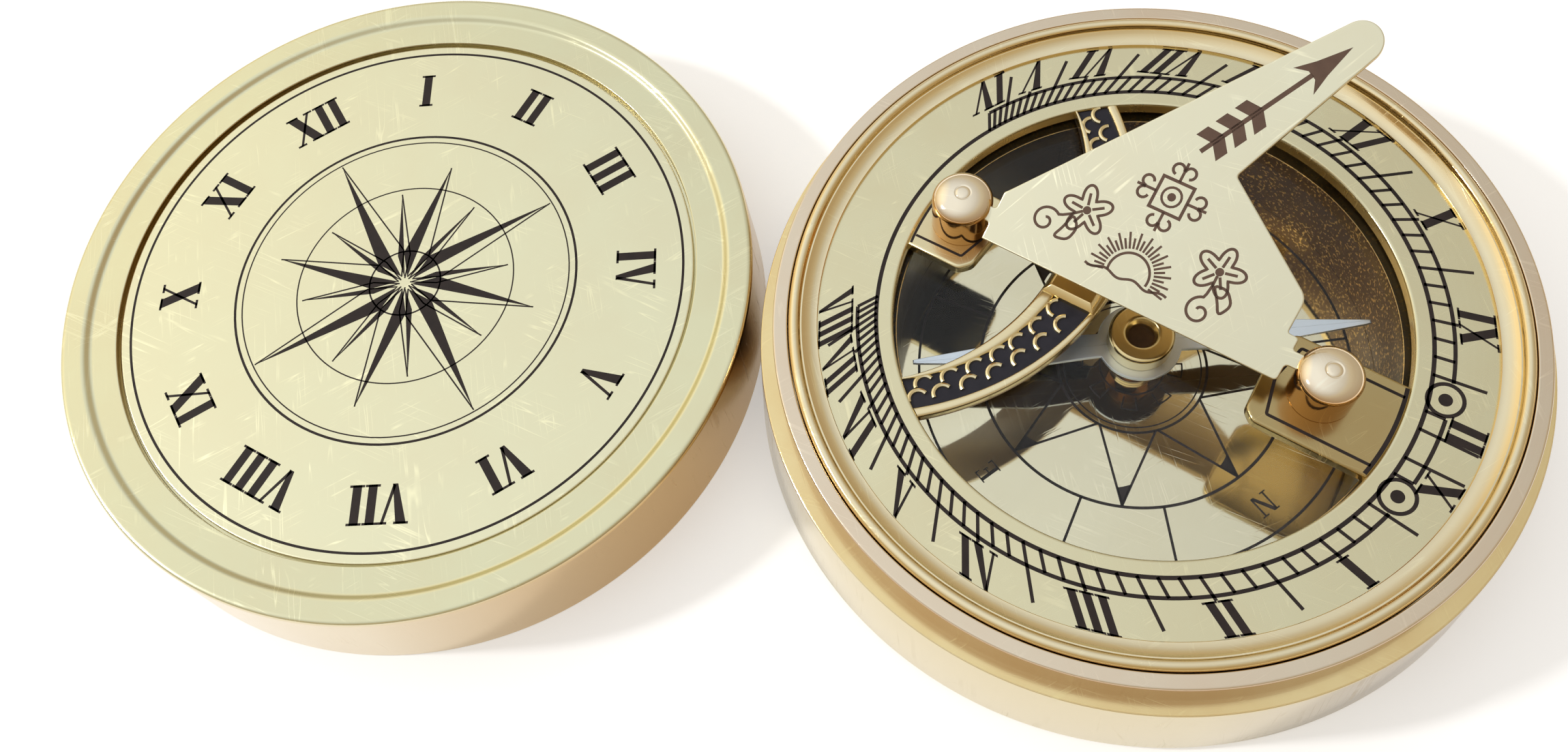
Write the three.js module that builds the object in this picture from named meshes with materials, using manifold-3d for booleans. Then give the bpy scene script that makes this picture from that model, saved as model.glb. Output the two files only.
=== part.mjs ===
// Sundial compass in turned brass, with its slip lid standing beside it.
// Units are millimetres and +Z is up. The origin is the centre of the case's underside.
import * as THREE from 'three';
import { mergeVertices } from 'three/addons/utils/BufferGeometryUtils.js';
import Module from 'manifold-3d';

const wasm = await Module();
wasm.setup();

// Clearances between pieces
const turnedFit = 0.3;
const hingeFit = 0.25;
const jewelFit = 0.1;

// Case: a turned cup with a floor, a ledge for the lid's edge and a collar
const bodyR = 39.9;
const bodyTaper = 0.9;
const footRound = 1.2;
const edgeBreak = 0.2;
const floorThickness = 1.6;
const ledgeWidth = 2.5;
const ledgeDrop = 2.6;
const collarWall = 1.5;
const collarRise = 1.1;
const collarEdge = 0.3;
const dialSeatWidth = 7.2;

// What stands on the floor: card, chamber ring and glass
const cardThickness = 0.4;
const chamberWall = 3.5;
const glassLip = 2.0;
const glassThickness = 1.5;
const glassHeadroom = 0.2;

// Hour dial: a flat ring with two tabs that carry the posts
const dialThickness = 1.4;
const dialWidth = 10.35;
const windowChamfer = 0.25;
const southTab = { length: 7.85, halfWidth: 4.7, corner: 1.5, bow: 0.4 };
const northTab = { length: 13.15, halfWidth: 5.3, corner: 1.3, bow: 0.2 };
const noonDegrees = -25.6;

// Bezel ring: a cove and a bead round the dial
const bezelWidth = 2.7;
const bezelStep = 0.3;
const coveRise = 0.7;
const beadR = 0.5;

// Posts, counted inwards from the window's edge; they stand a little east of noon
const southPostInset = 3.85;
const northPostInset = 7.55;
const hingeOffset = 0.5;
const postR = 3.1;
const postHeight = 5.4;
const postChamfer = 0.45;
const postDome = 0.25;
const shankR = 1.5;
const hingeHeight = 3.65;

// Gnomon plate, flat on the hinge line and folded up on the morning side
const plateThickness = 0.8;
const trunnionWidth = 1.5;
const trunnionReach = 1.8;
const boreSpare = 0.8;
const southGap = 0.45;
const northGap = 0.95;
const plateFoot = 2.5;
const earTop = 2.0;
const shoulderInset = 1.15;
const shoulderTop = 5.6;
const fingerRoot = { x: 1.6, y: 13.2 };
const fingerTipR = 2.05;
const styleFoot = 2.9;
const styleInset = 0.3;
const styleLength = 34.8;
const styleDegrees = 51.3;
const foldDegrees = 27;

// Bar bridge: two curved bars, mirror images about the noon line, and their knuckle
const barOuterEdge = { x: -34.4, y: 1.07, radius: 23.96 };
const barInnerCentre = { x: -33.03, y: -0.67 };
const barGirth = 4.82;
const outerRimCentre = { x: -31.18, y: 0.86 };
const innerRimCentre = { x: -33.32, y: -1.46 };
const barRimInset = { outer: 1.72, inner: 0.25 };
const barSink = 0.35;
const tongueThickness = 0.5;
const tongueLength = 1.4;
const tongueWidth = 2.6;
const knuckle = { outerInset: 0.16, innerInset: 0.44, halfWidth: 2.7, rise: 0.8, bevel: 0.6 };

// Compass needle on its pin
const needleDegrees = 10.2;
const pinR = 0.9;
const pinSink = 0.9;
const pinFlangeR = 2.4;
const pinFlange = 0.6;
const pinPoint = 2.2;
const bladeHeight = 5.4;
const bladeThickness = 0.4;
const needleGap = 1.5;
const bladeWaist = { x: 5.6, half: 1.35 };
const bladeBelly = { x: 10.5, half: 1.65 };
const bladeTaper = { x: 16.5, half: 0.95 };
const tipHalf = 0.2;
const eyeR = 4.3;
const capR = 3.35;
const capHeight = 2.1;
const capWall = 1.5;
const capEdge = 0.25;
const capHeadroom = 1.2;
const spigotR = 2.3;
const spigotDepth = 0.7;
const jewelLedge = 0.6;
const jewelHeight = 0.9;
const jewelCup = 0.55;

// Lid: a shallow cup standing mouth down, with a let-in medallion
const lidTaper = 0.4;
const lidEdge = 0.3;
const lidHeadroom = 0.6;
const lidWeb = 0.85;
const lidRimWidth = 2.6;
const lidStep = 0.5;
const lidStepSlope = 0.6;
const lidFlatWidth = 2.95;
const medallionThickness = 0.7;
const medallionSink = 0.35;
const lidStandOff = 0.4;

// Facets round a full turn
const turned = 72;
const small = 32;

// Heights, worked out from the stack on the floor
const cardTop = floorThickness + cardThickness;
const bladeZ = cardTop + bladeHeight;
const capZ = bladeZ + bladeThickness;
const glassSeatZ = capZ + capHeight + capHeadroom;
const glassTop = glassSeatZ + glassThickness;
const dialSeatZ = glassTop + glassHeadroom;
const dialTop = dialSeatZ + dialThickness;
const tongueZ = dialSeatZ + glassHeadroom;
const ledgeZ = dialTop - ledgeDrop;
const collarTop = dialTop + collarRise;
const hingeZ = dialTop + hingeHeight;

// Radii, worked out inwards from the case's wall
const collarR = bodyR - ledgeWidth;
const rimBoreR = collarR - collarWall;
const dialR = rimBoreR - turnedFit;
const bezelR = dialR - bezelWidth;
const windowR = dialR - dialWidth;
const caseBoreR = rimBoreR - dialSeatWidth;
const chamberR = caseBoreR - turnedFit;
const chamberInnerR = chamberR - chamberWall;
const glassSeatR = chamberInnerR + glassLip;
const glassR = glassSeatR - turnedFit;
const pinHoleR = pinR + turnedFit;
const needleReach = chamberInnerR - needleGap;
const capBoreR = capR - capWall;
const southPostX = southPostInset - windowR;
const northPostX = windowR - northPostInset;
const boreR = Math.hypot(trunnionWidth, plateThickness) / 2 + hingeFit;

// The other arcs of the bars follow their outer edge.
const barInnerEdge = { ...barInnerCentre, radius: barOuterEdge.radius + barGirth };
const barOuterRim = { ...outerRimCentre, radius: barOuterEdge.radius - barRimInset.outer };
const barInnerRim = { ...innerRimCentre, radius: barInnerEdge.radius - barRimInset.inner };

// The lid is as wide as the case's shoulder; its bore and depth clear the collar and posts.
const lidR = bodyR - bodyTaper;
const lidBoreR = collarR + turnedFit;
const lidDepth = ledgeDrop + postHeight + lidHeadroom;
const recessZ = lidDepth + lidWeb;
const lidFlatZ = recessZ + medallionThickness + medallionSink;
const lidTop = lidFlatZ + lidStep;
const lidTopR = lidR - lidTaper;
const lidFlatR = lidTopR - lidRimWidth - lidStepSlope;
const recessR = lidFlatR - lidFlatWidth;
const medallionR = recessR - turnedFit;

const brass = { color: 0xcdbd8a, roughness: 0.32, metalness: 1.0 };
const goldenBrass = { color: 0xc9a24c, roughness: 0.25, metalness: 1.0 };
const plateBrass = { color: 0xc6c096, roughness: 0.35, metalness: 1.0 };
const polishedPost = { color: 0xd0b070, roughness: 0.15, metalness: 1.0 };
const steel = { color: 0xb9c4d6, roughness: 0.25, metalness: 1.0 };
const clearGlass = {
  color: 0xe8f0ee,
  roughness: 0.05,
  metalness: 0.0,
  transparent: true,
  opacity: 0.3,
};
const darkJewel = { color: 0x4a2620, roughness: 0.3, metalness: 0.0 };

const radians = THREE.MathUtils.degToRad;

function mesh(name, geometry, finish) {
  const made = new THREE.Mesh(geometry, new THREE.MeshStandardMaterial(finish));
  made.name = name;
  return made;
}

// A solid of revolution about Z. The pairs of radius and height run with the material
// on their left; a profile that doesn't end on the axis closes on itself.
function turn(pairs, segments = turned) {
  const profile = pairs.map(([r, z]) => new THREE.Vector2(r, z));
  if (pairs[0][0] > 0) profile.push(profile[0].clone());
  const geometry = new THREE.LatheGeometry(profile, segments);
  return geometry.rotateX(Math.PI / 2);
}

// Pairs along an arc of a profile, in degrees, both ends included.
function arc(cx, cy, radius, from, to, steps) {
  return Array.from({ length: steps + 1 }, (_, i) => {
    const angle = radians(from + ((to - from) * i) / steps);
    return [cx + radius * Math.cos(angle), cy + radius * Math.sin(angle)];
  });
}

function extrude(shape, z, depth, curveSegments = turned) {
  const options = { depth, bevelEnabled: false, curveSegments };
  return new THREE.ExtrudeGeometry(shape, options).translate(0, 0, z);
}

function outline(pairs) {
  return new THREE.Shape(pairs.map(([x, y]) => new THREE.Vector2(x, y)));
}

function cylinder(radius, z, height, x = 0, y = 0, segments = small) {
  const geometry = new THREE.CylinderGeometry(radius, radius, height, segments);
  return geometry.rotateX(Math.PI / 2).translate(x, y, z + height / 2);
}

function box(x0, x1, y0, y1, z0, z1) {
  const geometry = new THREE.BoxGeometry(x1 - x0, y1 - y0, z1 - z0);
  return geometry.translate((x0 + x1) / 2, (y0 + y1) / 2, (z0 + z1) / 2);
}

function solid(geometry) {
  const bare = geometry.clone();
  bare.deleteAttribute('normal');
  bare.deleteAttribute('uv');
  const merged = mergeVertices(bare, 1e-5);
  return new wasm.Manifold(new wasm.Mesh({
    numProp: 3,
    vertProperties: new Float32Array(merged.attributes.position.array),
    triVerts: new Uint32Array(merged.index.array),
  }));
}

function geometryOf(manifold) {
  const { vertProperties, triVerts } = manifold.getMesh();
  const geometry = new THREE.BufferGeometry();
  geometry.setAttribute('position', new THREE.BufferAttribute(vertProperties, 3));
  geometry.setIndex(new THREE.BufferAttribute(triVerts, 1));
  return geometry;
}

function makeCaseCup() {
  return mesh('case_cup', turn([
    [0, 0],
    ...arc(bodyR - footRound, footRound, footRound, -90, 0, 5),
    [lidR, ledgeZ - edgeBreak],
    [lidR - edgeBreak, ledgeZ],
    [collarR, ledgeZ],
    [collarR, collarTop - collarEdge],
    [collarR - collarEdge, collarTop],
    [rimBoreR, collarTop],
    [rimBoreR, dialSeatZ],
    [caseBoreR, dialSeatZ],
    [caseBoreR, floorThickness],
    [pinHoleR, floorThickness],
    [pinHoleR, floorThickness - pinSink],
    [0, floorThickness - pinSink],
  ]), brass);
}

function makeCompassCard() {
  return mesh('compass_card', turn([
    [pinHoleR, floorThickness],
    [chamberR, floorThickness],
    [chamberR, cardTop],
    [pinHoleR, cardTop],
  ]), plateBrass);
}

// The point stands in the jewel's cup and carries the needle.
function makePivotPin() {
  const pointZ = capZ + jewelCup - jewelFit;
  return mesh('pivot_pin', turn([
    [0, floorThickness - pinSink],
    [pinR, floorThickness - pinSink],
    [pinR, cardTop],
    [pinFlangeR, cardTop],
    [pinFlangeR, cardTop + pinFlange],
    [pinR, cardTop + pinFlange],
    [pinR, pointZ - pinPoint],
    [0, pointZ],
  ], small), goldenBrass);
}

function makeChamberRing() {
  return mesh('chamber_ring', turn([
    [chamberInnerR, cardTop],
    [chamberR, cardTop],
    [chamberR, dialSeatZ],
    [glassSeatR, dialSeatZ],
    [glassSeatR, glassSeatZ],
    [chamberInnerR, glassSeatZ],
  ]), goldenBrass);
}

function makeWindowGlass() {
  return mesh('window_glass', turn([
    [0, glassSeatZ],
    [glassR, glassSeatZ],
    [glassR, glassTop],
    [0, glassTop],
  ]), clearGlass);
}

// A tab runs in from the window's edge along the noon line, with its corners cut off.
function tabSolid(side, { length, halfWidth, corner, bow }) {
  const root = side * (windowR + 1);
  const end = side * (windowR - length);
  const neck = end + side * corner;
  const face = end + side * bow;
  const cut = halfWidth - corner * 0.8;
  const pairs = [[root, -halfWidth], [root, halfWidth], [neck, halfWidth], [face, cut]];
  pairs.push([end, 0], [face, -cut], [neck, -halfWidth]);
  return solid(extrude(outline(pairs), dialSeatZ, dialThickness));
}

// The angle at which a bar's middle meets the window's edge, on the morning side.
function barRootAngle() {
  const meets = [barOuterEdge, barInnerEdge].map(({ x, y, radius }) => {
    const reach = Math.hypot(x, y);
    const along = (windowR ** 2 + reach ** 2 - radius ** 2) / (2 * windowR * reach);
    return Math.atan2(y, x) - Math.acos(along);
  });
  const positive = meets.map((angle) => (angle < 0 ? angle + 2 * Math.PI : angle));
  return (positive[0] + positive[1]) / 2;
}

// A bar's flat tongue, or with a clearance the pocket under the ring that takes it.
function tongueSolid(side, clearance) {
  const half = tongueWidth / 2 + clearance;
  const end = windowR + tongueLength + clearance;
  const bottom = tongueZ - 2 * clearance;
  const top = tongueZ + tongueThickness;
  const made = box(windowR - tongueLength, end, -half, half, bottom, top);
  return solid(made.rotateZ(side * barRootAngle()));
}

function makeHourDial() {
  let dial = solid(turn([
    [windowR, dialSeatZ],
    [dialR, dialSeatZ],
    [dialR, dialTop],
    [windowR + windowChamfer, dialTop],
    [windowR, dialTop - windowChamfer],
  ], 2 * turned));
  dial = dial.add(tabSolid(-1, southTab)).add(tabSolid(1, northTab));
  for (const x of [southPostX, northPostX]) {
    const hole = cylinder(shankR + turnedFit, dialSeatZ - 1, dialThickness + 2, x, hingeOffset);
    dial = dial.subtract(solid(hole));
  }
  for (const side of [-1, 1]) dial = dial.subtract(tongueSolid(side, turnedFit));
  return mesh('hour_dial', geometryOf(dial), plateBrass);
}

function makeBezelRing() {
  const beadZ = dialTop + bezelStep + coveRise;
  const coveWidth = bezelWidth - 2 * beadR;
  const steps = 5;
  const cove = Array.from({ length: steps }, (_, i) => {
    const part = (steps - 1 - i) / steps;
    return [bezelR + coveWidth * part, dialTop + bezelStep + coveRise * part ** 2];
  });
  return mesh('bezel_ring', turn([
    [bezelR, dialTop],
    [dialR, dialTop],
    ...arc(dialR - beadR, beadZ, beadR, 0, 180, 6),
    ...cove,
  ]), brass);
}

// One post with its shank through the tab; the bore opens towards the gnomon plate.
function makePost(name, x, facing) {
  const top = dialTop + postHeight;
  const turnedPost = turn([
    [0, dialSeatZ],
    [shankR, dialSeatZ],
    [shankR, dialTop],
    [postR, dialTop],
    [postR, top - postDome - postChamfer],
    [postR - postChamfer, top - postDome],
    [postR / 2, top - postDome / 4],
    [0, top],
  ], small).translate(x, hingeOffset, 0);
  const depth = trunnionReach + boreSpare;
  const middle = x + facing * (1.5 * postR - depth / 2);
  const bore = new THREE.CylinderGeometry(boreR, boreR, postR + depth, small);
  bore.rotateZ(Math.PI / 2).translate(middle, hingeOffset, hingeZ);
  return mesh(name, geometryOf(solid(turnedPost).subtract(solid(bore))), polishedPost);
}

// The plate's outline lies in XY with the hinge line on X.
function gnomonOutline() {
  const southFace = southPostX + postR;
  const northFace = northPostX - postR;
  const south = southFace + southGap;
  const north = northFace - northGap;
  const half = trunnionWidth / 2;
  const style = radians(styleDegrees);
  const foot = [south + styleInset, styleFoot];
  const tipX = foot[0] + styleLength * Math.cos(style) + fingerTipR * Math.sin(style);
  const tipY = foot[1] + styleLength * Math.sin(style) - fingerTipR * Math.cos(style);
  const reach = Math.hypot(tipX - fingerRoot.x, tipY - fingerRoot.y);
  const bearing = Math.atan2(tipY - fingerRoot.y, tipX - fingerRoot.x);
  const edge = bearing - Math.asin(fingerTipR / reach);
  const shape = outline([
    [south, -plateFoot],
    [north, -plateFoot],
    [north, -half],
    [northFace + trunnionReach, -half],
    [northFace + trunnionReach, half],
    [north, half],
    [north, earTop],
    [north - shoulderInset, earTop],
    [north - shoulderInset, shoulderTop],
    [fingerRoot.x, fingerRoot.y],
  ]);
  shape.absarc(tipX, tipY, fingerTipR, edge - Math.PI / 2, style + Math.PI / 2, false);
  shape.lineTo(...foot);
  shape.lineTo(south, styleFoot - styleInset);
  shape.lineTo(south, half);
  shape.lineTo(southFace - trunnionReach, half);
  shape.lineTo(southFace - trunnionReach, -half);
  shape.lineTo(south, -half);
  return shape;
}

function makeGnomonPlate() {
  const plate = extrude(gnomonOutline(), -plateThickness / 2, plateThickness, small / 4);
  return mesh('gnomon_plate', plate, plateBrass);
}

// A disc whose centre lies on the morning side, or on the evening side for side -1.
function disc({ x, y, radius }, side, z, height) {
  return solid(cylinder(radius, z, height, x, side * y, 2 * turned));
}

// One bar: the band between two arcs, cut off at the window, with a sunk ground.
function barSolid(side) {
  const height = dialTop - tongueZ;
  const below = tongueZ - 1;
  const tall = height + 2;
  const window = { x: 0, y: 0, radius: windowR - turnedFit };
  const near = -side * turnedFit;
  const face = side * knuckle.halfWidth;
  const far = side * windowR;
  const half = box(-windowR, 0, Math.min(near, far), Math.max(near, far), below, dialTop + 1);
  const ground = box(
    -windowR, 0, Math.min(face, far), Math.max(face, far), dialTop - barSink, dialTop + 1,
  );
  const sunk = disc(barInnerRim, side, below, tall)
    .subtract(disc(barOuterRim, side, below, tall))
    .intersect(solid(ground));
  return disc(barInnerEdge, side, tongueZ, height)
    .subtract(disc(barOuterEdge, side, below, tall))
    .subtract(sunk)
    .intersect(solid(half))
    .intersect(disc(window, side, below, tall))
    .add(tongueSolid(side, 0));
}

// Where an arc of the bars crosses the noon line inside the window.
function crossesNoon({ x, y, radius }) {
  return x + Math.sqrt(radius * radius - y * y);
}

// The knuckle is a block whose top edges are bevelled.
function knuckleSolid() {
  const { outerInset, innerInset, halfWidth, rise, bevel } = knuckle;
  const from = crossesNoon(barOuterEdge) + outerInset;
  const to = crossesNoon(barInnerEdge) - innerInset;
  const top = dialTop + rise;
  const middle = (from + to) / 2;
  const block = new THREE.BoxGeometry(to - from, 2 * halfWidth, 2, 1, 1, 2);
  const corner = block.attributes.position;
  for (let i = 0; i < corner.count; i += 1) {
    const level = corner.getZ(i);
    const inset = level > 0.5 ? bevel : 0;
    const x = corner.getX(i) - Math.sign(corner.getX(i)) * inset;
    const y = corner.getY(i) - Math.sign(corner.getY(i)) * inset;
    const heights = [tongueZ, top - bevel, top];
    corner.setXYZ(i, middle + x, y, heights[Math.round(level) + 1]);
  }
  return solid(block);
}

function makeBarBridge() {
  const bridge = barSolid(1).add(barSolid(-1)).add(knuckleSolid());
  return mesh('bar_bridge', geometryOf(bridge), goldenBrass);
}

// A long pointed blade with a round eye, through which the cap's spigot passes.
function makeNeedleBlade() {
  const quarter = [[needleReach, tipHalf]];
  for (const { x, half } of [bladeTaper, bladeBelly, bladeWaist]) quarter.push([x, half]);
  const back = quarter.map(([x, y]) => [-x, y]).reverse();
  const upper = [...quarter, ...back];
  const lower = upper.map(([x, y]) => [x, -y]).reverse();
  const strip = solid(extrude(outline([...upper, ...lower]), bladeZ, bladeThickness));
  const eye = solid(cylinder(eyeR, bladeZ, bladeThickness));
  const hole = solid(cylinder(spigotR + turnedFit, bladeZ - 1, bladeThickness + 2));
  return mesh('needle_blade', geometryOf(strip.add(eye).subtract(hole)), steel);
}

function makeNeedleCap() {
  const top = capZ + capHeight;
  return mesh('needle_cap', turn([
    [capBoreR - jewelLedge, capZ - spigotDepth],
    [spigotR, capZ - spigotDepth],
    [spigotR, capZ],
    [capR, capZ],
    [capR, top - capEdge],
    [capR - capEdge, top],
    [capBoreR, top],
    [capBoreR, capZ],
    [capBoreR - jewelLedge, capZ],
  ], small), goldenBrass);
}

function makeNeedleJewel() {
  const jewelR = capBoreR - jewelFit;
  const cupR = capBoreR - jewelLedge;
  return mesh('needle_jewel', turn([
    [cupR, capZ],
    [jewelR, capZ],
    [jewelR, capZ + jewelHeight],
    [0, capZ + jewelHeight],
    [0, capZ + jewelCup],
  ], small), darkJewel);
}

function makeLidShell() {
  return mesh('lid_shell', turn([
    [lidBoreR, 0],
    [lidR - lidEdge, 0],
    [lidR, lidEdge],
    [lidTopR, lidTop - lidEdge],
    [lidTopR - lidEdge, lidTop],
    [lidTopR - lidRimWidth, lidTop],
    [lidFlatR, lidFlatZ],
    [recessR, lidFlatZ],
    [recessR, recessZ],
    [0, recessZ],
    [0, lidDepth],
    [lidBoreR - lidStep, lidDepth],
    [lidBoreR, lidDepth - lidStep],
  ]), brass);
}

function makeLidMedallion() {
  const top = recessZ + medallionThickness;
  return mesh('lid_medallion', turn([
    [0, recessZ],
    [medallionR, recessZ],
    [medallionR, top - edgeBreak],
    [medallionR - edgeBreak, top],
    [0, top],
  ]), plateBrass);
}

function makeGnomon() {
  const gnomon = new THREE.Group();
  gnomon.add(makeGnomonPlate());
  gnomon.rotation.x = radians(foldDegrees);
  gnomon.position.set(0, hingeOffset, hingeZ);
  return gnomon;
}

function makeDialGroup() {
  const dial = new THREE.Group();
  dial.add(
    makeHourDial(),
    makeBarBridge(),
    makePost('south_post', southPostX, 1),
    makePost('north_post', northPostX, -1),
    makeGnomon(),
  );
  dial.rotation.z = radians(noonDegrees);
  return dial;
}

function makeNeedle() {
  const needle = new THREE.Group();
  needle.add(makeNeedleBlade(), makeNeedleCap(), makeNeedleJewel());
  needle.rotation.z = radians(needleDegrees);
  return needle;
}

function makeLid() {
  const lid = new THREE.Group();
  lid.add(makeLidShell(), makeLidMedallion());
  lid.position.x = -(bodyR + lidStandOff + lidR);
  return lid;
}

const group = new THREE.Group();
group.add(
  makeCaseCup(),
  makeCompassCard(),
  makePivotPin(),
  makeChamberRing(),
  makeWindowGlass(),
  makeBezelRing(),
  makeDialGroup(),
  makeNeedle(),
  makeLid(),
);

export default group;
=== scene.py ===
# %% [markdown]
# # A sundial compass in brass
# A small travelling sundial. The round case holds a compass under glass. A ring with the hours
# in Roman numerals lies round the glass, and a folding plate, the gnomon, turns between two
# posts above it. The loose lid lies beside the case. The CAD model already fixes the sizes, the
# places and the joints, so this lesson adds what the eye needs: edges that catch the light,
# engraving, polished and brushed brass, blued steel, glass, soft light and a camera.

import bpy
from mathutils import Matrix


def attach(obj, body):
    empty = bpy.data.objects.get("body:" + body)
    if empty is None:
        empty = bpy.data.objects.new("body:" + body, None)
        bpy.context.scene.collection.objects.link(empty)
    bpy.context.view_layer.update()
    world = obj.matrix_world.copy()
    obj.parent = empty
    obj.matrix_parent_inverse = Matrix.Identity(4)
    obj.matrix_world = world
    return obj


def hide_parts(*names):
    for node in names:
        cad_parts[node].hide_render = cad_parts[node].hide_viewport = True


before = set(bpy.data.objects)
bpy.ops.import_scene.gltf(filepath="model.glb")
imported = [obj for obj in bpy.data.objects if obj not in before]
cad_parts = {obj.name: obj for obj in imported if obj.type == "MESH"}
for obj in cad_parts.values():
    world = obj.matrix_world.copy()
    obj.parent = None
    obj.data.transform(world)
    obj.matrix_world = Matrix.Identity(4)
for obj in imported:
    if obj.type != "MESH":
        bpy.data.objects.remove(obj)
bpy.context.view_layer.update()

# %% [markdown]
# ## Working sizes
# A watchmaker thinks in millimetres, and Blender counts in metres. Every shape below is worked
# out in millimetres, and only the last helper turns it into metres. The case stands on the
# origin, so its turning axis is the Z axis. Heights that several pieces share get a name here,
# and so does the way in which each group is turned and moved to its place: the dial and the
# plate, for instance, are drawn with the noon line along X and are then turned together.

# %% Common values
import bpy
import numpy as np
from mathutils import Matrix

MM = 0.001
FLOOR_TOP, CARD_TOP, GLASS_SEAT, DIAL_SEAT, DIAL_TOP = 1.6, 2.0, 11.1, 12.8, 14.2
LIP = 25.25
NOON, HINGE_Y, HINGE_Z = -25.6, 0.5, 17.85
ON_DIAL = {"turn": NOON}
ON_PLATE = {"tilt": 27.0, "lift": (0.0, HINGE_Y, HINGE_Z), "turn": NOON}
ON_NEEDLE = {"turn": 10.2}
LID_CENTRE = (-79.3, 0.0, 0.0)
ON_LID = {"shift": LID_CENTRE}
print("card top", CARD_TOP, "mm, dial top", DIAL_TOP, "mm, window", 2 * LIP, "mm across")

# %% [markdown]
# ## Camera
# The camera looks steeply down on both pieces, from the front and a little from the right. A
# constraint could aim it, but three turns say exactly how it stands: a turn about the vertical,
# a tilt up from straight down, and a slight roll.

# %% Camera
camera = bpy.data.objects.new("camera", bpy.data.cameras.new("camera"))
bpy.context.scene.collection.objects.link(camera)
camera.data.sensor_fit = "HORIZONTAL"
camera.data.sensor_width = 36.0
camera.data.lens = 31.318
camera.data.clip_start = 0.005
camera.matrix_world = (
    Matrix.Translation((-0.016225, -0.064891, 0.13757))
    @ Matrix.Rotation(np.radians(19.115), 4, "Z")
    @ Matrix.Rotation(np.radians(25.37), 4, "X")
    @ Matrix.Rotation(np.radians(-13.086), 4, "Z")
)
bpy.context.scene.camera = camera
print("camera stands", round(camera.matrix_world.translation.length / MM), "mm away")

# %% [markdown]
# ## Surfaces from two parameters
# Almost every part of such an instrument is turned on a lathe or cut from sheet. Blender's
# modifiers could do both, but a formula says more plainly what the lathe and the saw do: a
# turned piece is a profile carried round an axis, and a cut piece is an outline carried up
# through the thickness of the sheet. Both are grids, so the helpers below work out whole grids
# at once and return the points with the lists of faces.

# %% Grids and placing
def grid_faces(rows, columns, wrap=False):
    """Quads between neighbours (i, j) and (i + 1, j + 1); the columns close on themselves."""
    i = np.arange(rows if wrap else rows - 1)[:, None]
    j = np.arange(columns)[None, :]
    low, high, right = i * columns, (i + 1) % rows * columns, (j + 1) % columns
    return np.stack([low + j, low + right, high + right, high + j], axis=-1).reshape(-1, 4)


def at_height(flat, height):
    """Grid points (x, y) become (x, y, z), with heights that follow the rows or the columns."""
    level = np.broadcast_to(height, flat.shape[:-1])
    return np.concatenate([flat, level[..., None]], axis=-1)


def ray(bearing):
    """The unit vector (cos b, sin b) at a bearing b in degrees, or at each one of an array."""
    angle = np.radians(bearing)
    return np.stack([np.cos(angle), np.sin(angle)], axis=-1)


def placed(points, rise=0.0, tilt=0.0, lift=(0, 0, 0), turn=0.0, shift=(0, 0, 0)):
    """Point P goes to Z(turn) (X(tilt) (P + rise z) + lift) + shift, with angles in degrees."""
    (ct, st), (cz, sz) = ray(tilt), ray(turn)
    tilted = (points + [0, 0, rise]) @ np.array([[1, 0, 0], [0, ct, st], [0, -st, ct]]) + lift
    return tilted @ np.array([[cz, sz, 0], [-sz, cz, 0], [0, 0, 1]]) + shift


print("faces of a grid of 3 by 4 points:", len(grid_faces(3, 4)))


# %% Softened corners
def softened(corners, cut=0.15, closed=True, steps=4):
    """Corner P becomes the curve (1-t)^2 A + 2t(1-t) P + t^2 B. A and B lie `cut` away from P on
    its two edges, or two fifths of an edge that is too short for that. A further point just
    outside each keeps the flats beside it flat."""
    corners = np.asarray(corners, float)
    cut = np.broadcast_to(np.asarray(cut, float), len(corners))[:, None]
    ends = []
    for step in (1, -1):
        edge = np.roll(corners, step, axis=0) - corners
        length = np.linalg.norm(edge, axis=1)[:, None] + 1e-12
        reach = np.minimum(cut, 0.4 * length)
        guard = np.minimum(0.05, 0.08 * length)
        ends.append((corners + edge / length * reach, corners + edge / length * (reach + guard)))
    (a, lead), (b, tail) = ends
    t = np.linspace(0, 1, steps + 1)[None, :, None]
    curve = (1 - t) ** 2 * a[:, None] + 2 * t * (1 - t) * corners[:, None] + t**2 * b[:, None]
    points = np.concatenate([lead[:, None], curve, tail[:, None]], axis=1)
    if closed:
        points = points.reshape(-1, 2)
    else:
        points = np.concatenate([corners[:1], points[1:-1].reshape(-1, 2), corners[-1:]])
    far = np.linalg.norm(points - np.roll(points, 1, axis=0), axis=1) > 1e-5
    return points[far]


def arc(cx, cy, radius, start, end, steps=24):
    """Points at equal angles, in degrees, on a circle."""
    return [cx, cy] + radius * ray(np.linspace(start, end, steps + 1))


print("points of a square with soft corners:", len(softened([[0, 0], [1, 0], [1, 1], [0, 1]])))


# %% Turned pieces
def lathe(profile, turns=256):
    """Profile point (r, z) is carried round the axis: x = r cos a, y = r sin a. The material lies
    on the left of the profile; points on the axis become single poles."""
    profile = np.asarray(profile, float)
    ring = profile[profile[:, 0] > 1e-6]
    spokes = ray(np.arange(turns) * 360 / turns)
    points = at_height(ring[:, :1, None] * spokes, ring[:, 1:]).reshape(-1, 3)
    poled = profile[0, 0] <= 1e-6
    faces = [grid_faces(len(ring), turns, wrap=not poled)]
    if poled:
        j = np.arange(turns)
        right, top = (j + 1) % turns, (len(ring) - 1) * turns
        low_pole, high_pole = len(points), len(points) + 1
        faces.append(np.stack([np.full(turns, low_pole), right, j], axis=1))
        faces.append(np.stack([top + j, top + right, np.full(turns, high_pole)], axis=1))
        points = np.vstack([points, [0, 0, profile[0, 1]], [0, 0, profile[-1, 1]]])
    return points, faces


print("256 steps round the case stray", round(39.9 * (1 - ray(180 / 256)[0]), 4), "mm from round")


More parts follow.
